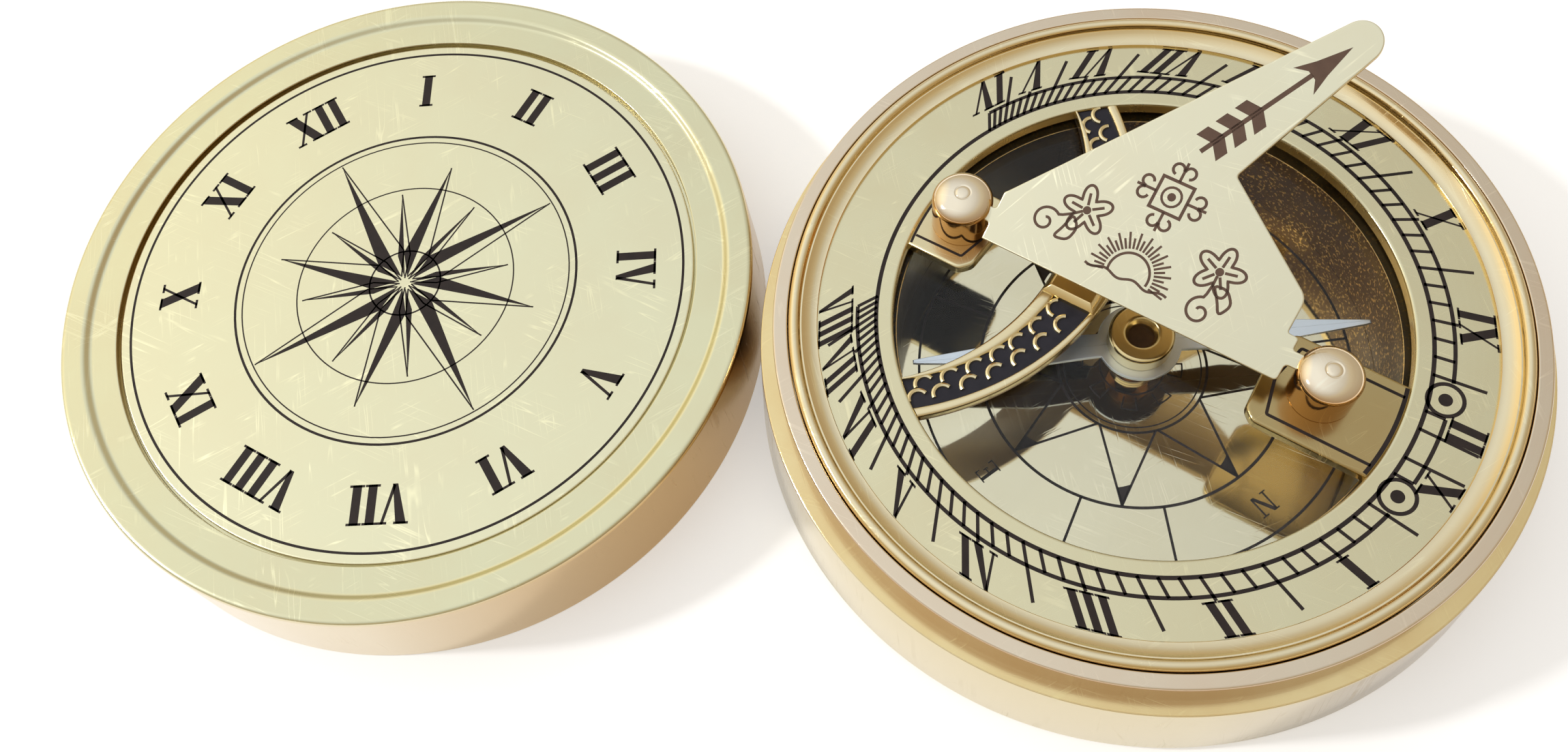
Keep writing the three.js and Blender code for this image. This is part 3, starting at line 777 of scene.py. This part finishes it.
# %% Lines on the tabs
south = softened([[-24.6, -3.4], [-19.3, -3.3], [-18.3, 0], [-19.3, 3.3], [-24.6, 3.4]],
                 cut=[0, 0.2, 0.2, 0.2, 0], closed=False)
north = softened([[24.6, 4.0], [14.3, 4.0], [13.4, 0], [14.3, -4.0], [24.6, -4.0]],
                 cut=[0, 0.2, 0.2, 0.2, 0], closed=False)
borders = [stroke(south, 0.3), stroke(north, 0.34),
           stroke(arc(0, 0, 25.0, 180 - 10.2, 180 + 10.2, 12), 0.3),
           stroke(arc(0, 0, 24.95, -11.6, 11.6, 12), 0.45)]
add_piece("tab_lines", borders, black_wax, "case", rise=DIAL_TOP, **ON_DIAL)

# %% [markdown]
# ## Curved bars and their knuckle
# Two bars spring from the lip, curve towards the middle and meet under a bevelled knuckle. Each
# bar has two bright rims with a painted ground sunk between them, and small raised scales stand
# on the ground. A curve with a bevel profile would keep one width, but these bars narrow on the
# way. Four circles bound the rims, so the surface is a cross-section whose points ride on those
# circles, swept from the knuckle to the lip.

# %% Bar surface
BAR_ARCS = np.array([
    [-34.4, 1.07, 23.96], [-31.18, 0.86, 22.24], [-33.32, -1.46, 28.53], [-33.03, -0.67, 28.78],
])


def bar_rails(start=0.0, steps=48):
    """For each bounding circle (cx, cy, radius), points at equal angles from the line y = start
    to the lip. The law of cosines gives the bearing where the circle meets the lip."""
    cx, cy, radius = BAR_ARCS.T
    begin = np.arcsin((start - cy) / radius)
    reach = np.hypot(cx, cy)
    along = (LIP**2 + reach**2 - radius**2) / (2 * LIP * reach)
    lip = np.arctan2(cy, cx) % (2 * np.pi) - np.arccos(along)
    end = np.arctan2(LIP * np.sin(lip) - cy, LIP * np.cos(lip) - cx)
    angle = begin + (end - begin) * np.linspace(0, 1, steps + 1)[:, None]
    return np.stack([cx + radius * np.cos(angle), cy + radius * np.sin(angle)], axis=2)


def bar_shape(side, first, second, section):
    """Section point (f, z) lies a share f of the way from one rail to the other, at height z."""
    rails, share = bar_rails(), section[:, :1]
    flat = rails[:, first, None] * (1 - share) + rails[:, second, None] * share
    return stacked(at_height(flat, section[:, 1])[::side] * [1, side, 1])


def box_section(low, high, bottom, top, cut):
    """A box whose upper corners are rounded; it runs clockwise, because f grows to the right."""
    corners = [[low, bottom], [low, top], [high, top], [high, bottom]]
    return softened(corners, cut=[0.01, cut, cut, 0.01])


def scale_paths(side, count=7):
    """Half circles of 0.95 mm on the ground, in two rows that are half a step apart."""
    rails = bar_rails(2.9)
    paths = []
    for share, shift in ((0.27, 0.35), (0.72, 0.85)):
        for k in range(count):
            low = int((k + shift) / count * (len(rails) - 1))
            spot = rails[low, 1] * (1 - share) + rails[low, 2] * share
            x, y = rails[low + 1, 1] - rails[low, 1]
            lean = np.degrees(np.arctan2(y, x))
            paths.append(arc(*spot, 0.95, lean - 12, lean + 148, 10) * [1, side])
    return paths


rails = bar_rails()
widths = np.linalg.norm(rails[:, 0] - rails[:, 3], axis=1)
print("a bar narrows from", round(float(widths[0]), 1), "to", round(float(widths[-1]), 1), "mm")

# %% Bars
RIDGE = np.array([[-0.24, 13.8], [0.24, 13.8], [0.18, 14.04], [0.0, 14.14], [-0.18, 14.04]])
for name, side in (("morning_bar", 1), ("evening_bar", -1)):
    rim = box_section(0, 1, 13.3, DIAL_TOP, 0.38)
    rims = [bar_shape(side, first, first + 1, rim) for first in (0, 2)]
    rims += [sweep(path, RIDGE) for path in scale_paths(side)]
    add_piece(name + "_rims", rims, bar_brass, "case", "golden_brass", ("bar_bridge",),
              **ON_DIAL)
    ground = bar_shape(side, 1, 2, box_section(-0.05, 1.05, 13.3, 13.85, 0.01))
    add_piece(name + "_ground", [ground], navy_paint, "case", None, ("bar_bridge",), **ON_DIAL)
    back = bar_shape(side, 0, 3, box_section(0, 1, 13.0, 13.35, 0.02))
    add_piece(name + "_back", [back], raw_brass, "case", "golden_brass", ("bar_bridge",),
              **ON_DIAL)

# %% Knuckle
KNUCKLE = np.array([[-10.3, -2.7], [-4.7, -2.7], [-4.7, 2.7], [-10.3, 2.7]])
BEVEL = np.array([(0, 13.0), (0, 14.32), (0.03, 14.4), (0.57, 14.96), (0.64, 15.0), (0.7, 15.0)])
outline = softened(KNUCKLE, cut=0.12)
inwards = np.sign(outline - KNUCKLE.mean(axis=0))
rings = at_height(outline - inwards * BEVEL[:, :1, None], BEVEL[:, 1:])
add_piece("knuckle", [stacked(rings)], golden_brass, "case", "golden_brass", ("bar_bridge",),
          **ON_DIAL)

# %% [markdown]
# ## Chamber, card, pin and glass
# Under the dial lies the compass: a turned ring keeps the needle's room round, the card covers
# its floor, a pointed pin carries the needle, and a disc of glass closes it. All four are round,
# so each is again one turned profile. The card is polished so highly that it mirrors the ring
# and the plate above.

# %% Compass chamber
chamber = softened([[24.9, CARD_TOP], [28.4, CARD_TOP], [28.4, DIAL_SEAT], [26.9, DIAL_SEAT],
                    [26.9, GLASS_SEAT], [24.9, GLASS_SEAT]], cut=0.12)
add_piece("chamber_wall", [lathe(chamber)], shaded_chamber_brass, "case", "golden_brass",
          ("chamber_ring",))
card = np.vstack([[[0, FLOOR_TOP]], softened([[0, FLOOR_TOP], [28.4, FLOOR_TOP], [28.4, CARD_TOP],
                                              [0, CARD_TOP]], cut=0.05, closed=False)[1:]])
add_piece("card", [lathe(card)], card_brass, "case", "plate_brass", ("compass_card",))
pin = softened([[0, CARD_TOP], [2.4, CARD_TOP], [2.4, 2.6], [0.9, 2.6], [0.9, 6.05], [0, 8.25]],
               cut=[0, 0.05, 0.15, 0.2, 0.1, 0], closed=False)
add_piece("pin", [lathe(pin, 64)], golden_brass, "case", "golden_brass", ("pivot_pin",))
pane = softened([[0, GLASS_SEAT], [26.6, GLASS_SEAT], [26.6, 12.6], [0, 12.6]], cut=0.2,
                closed=False)
add_piece("glass_pane", [lathe(pane)], glass, "case", "window_glass", ("window_glass",))

# %% [markdown]
# ## Compass card
# The card carries the points of the compass: two fine circles in the middle, eight slim points
# with dark tips that touch a wide circle, two ticks at every other point, and four letters. A
# picture of them would blur close up, so they are strips like those on the dial, each placed by
# its bearing and its distance from the middle. North lies well off the noon line here, because
# the dial hasn't been turned to the needle yet.

# %% Letters in a ring
def carried(shape, direction, centre):
    """Shape point (a, b) goes to centre + a d + b n, where n is the left normal of d."""
    x, y = direction
    return np.asarray(shape) @ np.array([[x, y], [-y, x]]) + centre


def outwards(bearing, inner, height, width):
    """Letter tops point outwards: (x, y) lies at radius inner + height y, width x to the right."""
    return lambda p: carried(np.column_stack([inner + height * p[:, 1], -width * p[:, 0]]),
                             ray(bearing), (0, 0))


def s_curve():
    """The spine of an S: two arcs of a circle that turn opposite ways and meet in the middle."""
    upper = arc(0.32, 0.74, 0.20, 40, 270, 12)
    lower = arc(0.32, 0.26, 0.24, 90, -140, 12)
    return np.vstack([upper, lower[1:] + [0, 0.04]])


print("points of the letter S:", len(s_curve()))

# %% Card engraving
NORTH = -47.3
WIDE, TOUCH, MIDDLE = 22.7, 16.1, 7.8
TIP = np.array([[1, 0, 0], [0.72, 0.28, 0], [0.76, 0.12, 0.12], [0.78, 0, 0.22]])
card_lines = [circle((0, 0), radius, 160, width) for radius, width in (
    (WIDE, 0.3), (TOUCH, 0.34), (MIDDLE, 0.3), (7.2, 0.16), (3.4, 0.2))]
for k in range(8):
    bearing = NORTH + 45 * k
    left, point, right = (radius * ray(bearing + d)
                          for radius, d in ((MIDDLE, 21.8), (16.0, 0), (MIDDLE, -21.8)))
    card_lines += [stroke([left, point], 0.28), stroke([right, point], 0.28),
                   cutout(TIP @ np.array([point, left, right]))]
    for tick in (bearing - 15, bearing + 15) if k % 2 else ():
        card_lines.append(stroke(np.outer([TOUCH, WIDE], ray(tick)), 0.3))
    petal = arc(0, 0, 5.2, bearing - 9, bearing + 9, 4)
    card_lines.append(stroke(np.vstack([petal[:1] * 0.72, petal, petal[-1:] * 0.72]), 0.18))
for letter, quarter in (("N", 0), ("E", -90), ("W", 90)):
    card_lines += lettered(letter, outwards(NORTH + quarter, 18.6, 2.3, 2.3))
south = outwards(NORTH + 180, 18.6, 2.3, 2.3)(s_curve() - [0.32, 0])
add_piece("card_lines", card_lines + [stroke(south, 0.3)], black_wax, "case", rise=CARD_TOP)

# %% [markdown]
# ## Posts
# Each post is a stout turned pillar with a button top. Half a ball would stand too high, and a
# disc with soft edges would look dead. The curve z = 18.05 + 1.51 sqrt(1 - (r/3.1)^2.4) lies
# between them and gathers the light like a ball. The turner's tool has left a small nib in the
# middle.

# %% Posts
SHOULDER, POST_RADIUS = 18.05, 3.1
r = 3.09 * np.sin(np.linspace(np.pi / 2, 0.30, 28))
dome = np.column_stack([r, SHOULDER + 1.51 * np.sqrt(1 - (r / POST_RADIUS) ** 2.4)])
nib = [[0.88, 19.52], [0.82, 19.48], [0.74, 19.48], [0.66, 19.54], [0.4, 19.58], [0, 19.59]]
post = softened([[0, 13.9], [1.5, 13.9], [1.5, 14.21], [POST_RADIUS, 14.21],
                 [POST_RADIUS, SHOULDER], dome[0]], cut=[0, 0.05, 0.02, 0.1, 0.02, 0],
                closed=False)
post = np.vstack([post[:-1], dome, nib])
for name, x in (("south_post", -21.4), ("north_post", 17.7)):
    points, faces = lathe(post, 128)
    add_piece(name + "_turned", [(points + [x, HINGE_Y, 0], faces)], post_brass, "case",
              "post_brass", (name,), **ON_DIAL)

# %% [markdown]
# ## Gnomon plate
# The plate is sawn from flat sheet. Its long straight edge is the style, which throws the
# shadow; it runs up to a rounded finger. Two trunnions at its foot turn in the posts. A traced
# outline would waver, so it is made up of straight lines with softened corners and one arc that
# touches them, in the plate's own plane with the hinge line on the X axis.

# %% Plate outline
STYLE, FINGER, PLATE_TOP = 51.3, 2.05, 0.4
heel, root = np.array([[-17.55, 2.9], [1.6, 13.2]])
tip = heel + 34.8 * ray(STYLE) + FINGER * ray(STYLE - 90)
away = tip - root
back = np.degrees(np.arctan2(away[1], away[0]) - np.arcsin(FINGER / np.hypot(*away)))
finger = arc(*tip, FINGER, back - 90, STYLE + 90, 24)
low = softened([[-17.85, -2.5], [13.65, -2.5], [13.65, -0.75], [16.4, -0.75], [16.4, 0.75],
                [13.65, 0.75], [13.65, 2.0], [12.5, 2.0], [12.5, 5.6], root, finger[0]],
               cut=[0, 0.5, 0.4, 0.4, 0.4, 0.3, 0.4, 0.3, 0.9, 0.35, 0], closed=False)
high = softened([finger[-1], heel, [-17.85, 2.6], [-17.85, 0.75], [-20.1, 0.75],
                 [-20.1, -0.75], [-17.85, -0.75], [-17.85, -2.5]],
                cut=[0, 0.3, 0.15, 0.4, 0.4, 0.4, 0.4, 0], closed=False)
plate_outline = np.vstack([low[:-1], finger, high[1:-1]])
add_piece("gnomon", [slab(plate_outline, -PLATE_TOP, PLATE_TOP, edge=0.12)], plate_brass,
          "gnomon", "plate_brass", ("gnomon_plate",), **ON_PLATE)

# %% [markdown]
# ## Engraving on the plate
# The plate carries an arrow along its finger and a few old ornaments: half a sun with rays over
# wavy ground, a diamond cross and two sprigs. An engraver builds such figures from a few plain
# moves of the hand, and so does this cell: circles, waves and spirals, in a thin line filled
# with brown.

# %% Arrow and sun
def arrow(tail, head):
    """An arrow from tail to head: shaft, barbed head and three pairs of swept feathers, drawn
    along the line (a) and sideways (b) and then carried onto it."""
    span = np.subtract(head, tail)
    length = np.linalg.norm(span)
    shapes = [[(length - a, b) for a, b in ((0, 0), (3.2, 0.85), (5.2, 1.6), (4.3, 0.5),
                                            (4.3, -0.5), (5.2, -1.6), (3.2, -0.85))]]
    for c in (1.5, 3.6, 5.7):
        shapes += [[(c, 0.05 * s), (c + 1.3, 0.05 * s), (c + 0.6, 1.6 * s), (c - 0.7, 1.6 * s)]
                   for s in (1, -1)]
    shaft = carried([[0.2, 0], [length - 4.2, 0]], span / length, tail)
    return [cutout(carried(shape, span / length, tail)) for shape in shapes] + [stroke(shaft, 0.5)]


def half_sun(centre, count=27):
    """A half circle, rays of two lengths round it, and ground that waves like a sine."""
    parts = [stroke(arc(*centre, 2.05, -12, 192, 30), 0.28)]
    for k in range(count):
        reach = [2.45, 3.5 if k % 2 else 4.1]
        parts.append(stroke(np.outer(reach, ray(204 * k / (count - 1) - 12)) + centre, 0.24))
    x = np.linspace(-4.3, 4.3, 40)
    wave = np.column_stack([x, 0.2 * np.sin(2.1 * x) - 0.6])
    return parts + [stroke(wave + centre, 0.28)]


# %% Diamond cross and sprigs
def diamond_cross(centre, half=1.6):
    """A square with a ring and a dot in it, and at each side an arm between two curls, which are
    arcs of a circle."""
    square = np.array([[1, 1], [-1, 1], [-1, -1], [1, -1]]) * half
    arms = [[[half, 0], [half + 2.0, 0]]]
    arms += [arc(half + 1.1, 0.6 * s, 0.55, -90 * s, 170 * s, 12) for s in (1, -1)]
    parts = [stroke(square + centre, 0.34, closed=True), circle(centre, 0.42, 12),
             circle(centre, 0.95, 20, 0.26)]
    for k in range(4):
        parts += [stroke(carried(arm, ray(90 * k), centre), 0.3) for arm in arms]
    return parts


def sprig(centre, lean):
    """A flower with five pointed petals, r = 1.2 + 1.3 |cos 2.5a|^1.5, and a stalk that winds in
    a spiral beside a leaf, all turned by an angle in degrees."""
    a = np.linspace(0, 360, 101)[:-1]
    bloom = (1.2 + 1.3 * np.abs(np.cos(np.radians(2.5 * a))) ** 1.5)[:, None] * ray(a)
    t = np.linspace(0, 1, 40)
    spiral = (1.45 * (1 - 0.8 * t))[:, None] * ray(np.degrees(1.5) + 414 * t) - [0.9, 4.1]
    stalk = np.vstack([[[-0.1, -0.4], [-0.3, -1.4], [-0.6, -2.3]], spiral])
    leaf = softened([[-0.2, -1.3], [1.2, -1.5], [1.9, -2.9], [0.9, -4.1], [0.5, -2.7]], cut=0.6)
    drawn = [(bloom, True), (stalk, False), (leaf, True)]
    drawn += [(np.outer([0.5, 1.7], ray(72 * k)), False) for k in range(5)]
    parts = [stroke(carried(path, ray(lean), centre), 0.3, closed) for path, closed in drawn]
    return parts + [circle(centre, 0.42, 12)]


ornaments = arrow((-2.6, 13.75), (5.45, 28.1)) + half_sun((-3.2, 0.55))
ornaments += diamond_cross((-2.9, 8.9)) + sprig((-9.6, 4.4), -40) + sprig((4.4, 4.4), 12)
add_piece("plate_engraving", ornaments, brown_wax, "gnomon", rise=PLATE_TOP, **ON_PLATE)

# %% [markdown]
# ## Needle
# The needle is a long blade of blued steel with a round eye. A brass cap sits in the eye, and a
# hard red-brown jewel inside it rests on the pin. The blade is cut from sheet like the gnomon
# plate, so the same helper makes it. Its half width is a line through a few measured widths,
# joined with the circle of the eye, and the points crowd together where it narrows to a tip.

# %% Needle blade, cap and jewel
BLADE_LOW, BLADE_HIGH = 7.4, 7.8
x = 23.4 * np.sin(np.linspace(-np.pi / 2, np.pi / 2, 161))
blade = np.interp(np.abs(x), [0, 5.6, 10.5, 16.5, 22.9, 23.4], [1.2, 1.35, 1.65, 0.95, 0.26, 0.18])
half = np.maximum(blade, np.sqrt(np.maximum(4.3**2 - x**2, 0)))
edge_line = np.concatenate([np.column_stack([x, -half]), np.column_stack([x, half])[::-1]])
add_piece("blade", [slab(edge_line, BLADE_LOW, BLADE_HIGH, edge=0.05)], steel, "needle",
          "needle_steel", ("needle_blade",), **ON_NEEDLE)
cap = softened([[1.25, 6.7], [2.3, 6.7], [2.3, BLADE_HIGH], [3.35, BLADE_HIGH], [3.35, 9.9],
                [1.75, 9.9], [1.3, 9.2], [1.3, 8.72], [1.78, 8.72], [1.78, BLADE_HIGH],
                [1.25, BLADE_HIGH]],
               cut=[0.05, 0.05, 0.05, 0.1, 0.4, 0.2, 0.1, 0.02, 0.02, 0.05, 0.05])
add_piece("cap", [lathe(cap, 128)], golden_brass, "needle", "golden_brass", ("needle_cap",),
          **ON_NEEDLE)
stone = softened([[0, 8.35], [1.25, BLADE_HIGH], [1.75, BLADE_HIGH], [1.75, 8.7], [0, 8.7]],
                 cut=[0, 0.05, 0.05, 0.2, 0], closed=False)
add_piece("stone", [lathe(stone, 64)], jewel, "needle", "jewel", ("needle_jewel",), **ON_NEEDLE)

# %% [markdown]
# ## Lid
# The lid is a shallow turned cap. A raised rim slopes down to a flat, and an engraved disc is
# let into a recess in the middle with a fine gap round it. The gap could be painted on, but a
# real one throws its own thin shadow. Both pieces are turned on the case's axis and then moved
# to their place beside it.

# %% Lid and its disc
WEB_TOP, DISC_TOP = 9.45, 10.15
lid_profile = softened([[0, 8.6], [37.7, 8.6], [37.7, 0], [39.0, 0], [38.6, 11.0], [36.0, 11.0],
                        [35.4, 10.5], [32.45, 10.5], [32.45, WEB_TOP], [0, WEB_TOP]],
                       cut=[0, 0.5, 0.15, 0.3, 0.55, 0.25, 0.2, 0.12, 0.05, 0], closed=False)
add_piece("lid_turned", [lathe(lid_profile)], lid_brass, "lid", "case_brass", ("lid_shell",),
          **ON_LID)
disc = softened([[0, WEB_TOP], [32.15, WEB_TOP], [32.15, DISC_TOP], [0, DISC_TOP]],
                cut=[0, 0.05, 0.2, 0], closed=False)
add_piece("lid_disc", [lathe(disc)], medal_brass, "lid", "plate_brass", ("lid_medallion",),
          **ON_LID)

# %% [markdown]
# ## Engraving on the lid
# The lid bears a plain generic design: a fine circle near the edge, the twelve hours in Roman
# numerals, and in the middle a compass star. Each ray of the star is a kite split along its
# length, one half filled and the other left open, which makes the star look faceted.

# %% Lid engraving
TOP_HOUR = 128
lid_marks = [circle((0, 0), 31.0, 240, 0.3)]
for k, text in enumerate(TWELVE):
    lid_marks += lettered(text, outwards(TOP_HOUR - 30 * k, 23.6, 4.4, 3.96))
add_piece("lid_numerals", lid_marks, black_wax, "lid", rise=DISC_TOP, **ON_LID)

star = [circle((0, 0), radius, 120, width)
        for radius, width in ((19.2, 0.3), (18.4, 0.16), (12.2, 0.16), (4.0, 0.2))]
for first, step, reach, waist, half in ((22.5, 45, 11.6, 3.6, 11.25), (45, 90, 15.2, 3.9, 22.5),
                                        (0, 90, 18.2, 4.2, 22.5)):
    for bearing in np.arange(first, 360, step) + TOP_HOUR:
        point = reach * ray(bearing)
        star.append(cutout([point * 0.05, waist * ray(bearing + half), point]))
        star.append(stroke([point, waist * ray(bearing - half), point * 0.05], 0.18))
add_piece("lid_star", star, black_wax, "lid", rise=DISC_TOP, **ON_LID)

# %% [markdown]
# ## Floor and light
# A plain pale floor carries the object and keeps its soft shadow. It glows a little, but only
# for the camera and in mirror images, so that it looks like lit paper while the glow lights
# nothing else. Polished brass shows whatever stands round it, so the world is a soft studio: a
# bright dome to the upper left that grows dimmer and warmer down to the horizon, and a warm
# patch low on the left. Lamps could give the same light, but their small hard images would show
# in every bead. One broad sun from the left gives the shadows, and the camera itself sees plain
# white behind everything.

# %% Floor
floor_mesh = bpy.data.meshes.new("floor")
floor_mesh.from_pydata([(-3, -3, 0), (3, -3, 0), (3, 3, 0), (-3, 3, 0)], [], [(0, 1, 2, 3)])
floor = bpy.data.objects.new("floor", floor_mesh)
bpy.context.scene.collection.objects.link(floor)
paper, tree, shader = new_material("white paper")
rays = wire(tree, "LightPath").outputs
either = calc(tree, "MAXIMUM", rays["Is Camera Ray"], rays["Is Glossy Ray"])
connect(tree, shader, {
    "Base Color": (0.86, 0.86, 0.86), "Roughness": 0.9, "Emission Color": (1, 1, 1),
    "Emission Strength": calc(tree, "MULTIPLY", either, 0.34),
})
floor_mesh.materials.append(paper)
print("floor of", floor.dimensions.x, "m")

# %% World
world = bpy.data.worlds.new("studio")
bpy.context.scene.world = world
world.use_nodes = True
tree = world.node_tree
direction = wire(tree, "TexCoord").outputs["Generated"]


def lobe(centre, stops):
    """A colour that depends on the cosine between a direction and the lobe's centre."""
    centre = np.array(centre) / np.linalg.norm(centre)
    cosine = wire(tree, "VectorMath", {0: direction, 1: tuple(centre)}, operation="DOT_PRODUCT")
    ramp = wire(tree, "ValToRGB", {"Fac": cosine.outputs["Value"]})
    elements = ramp.color_ramp.elements
    elements[0].position, elements[0].color = stops[0][0], (*stops[0][1], 1)
    elements[1].position, elements[1].color = stops[-1][0], (*stops[-1][1], 1)
    for position, colour in stops[1:-1]:
        elements.new(position).color = (*colour, 1)
    return ramp


dome = lobe((-0.45, 0.14, 0.88), [
    (0.0, (0.50, 0.43, 0.33)), (0.25, (0.53, 0.45, 0.34)), (0.45, (0.61, 0.54, 0.42)),
    (0.60, (0.64, 0.61, 0.57)), (0.78, (0.79, 0.79, 0.79)), (0.95, (0.96, 0.97, 0.98)),
])
warm = lobe((-0.82, 0.44, 0.36), [(0.80, (0.0, 0.0, 0.0)), (0.95, (0.30, 0.20, 0.0))])
both = mixed(tree, 1.0, dome, warm, blend_type="ADD")
seen = mixed(tree, wire(tree, "LightPath").outputs["Is Camera Ray"], both, (1, 1, 1))
connect(tree, tree.nodes["Background"], {"Color": seen})
print("studio:", len(tree.nodes), "nodes")

# %% Sun
sun = bpy.data.objects.new("window lamp", bpy.data.lights.new("window lamp", "SUN"))
sun.data.energy = 1.3
sun.data.angle = np.radians(5)
sun.matrix_world = (
    Matrix.Rotation(np.radians(7), 4, "Z") @ Matrix.Rotation(np.radians(-53), 4, "Y")
)
bpy.context.scene.collection.objects.link(sun)
bpy.context.scene.view_settings.view_transform = "Standard"
print("sun of strength", round(sun.data.energy, 2))
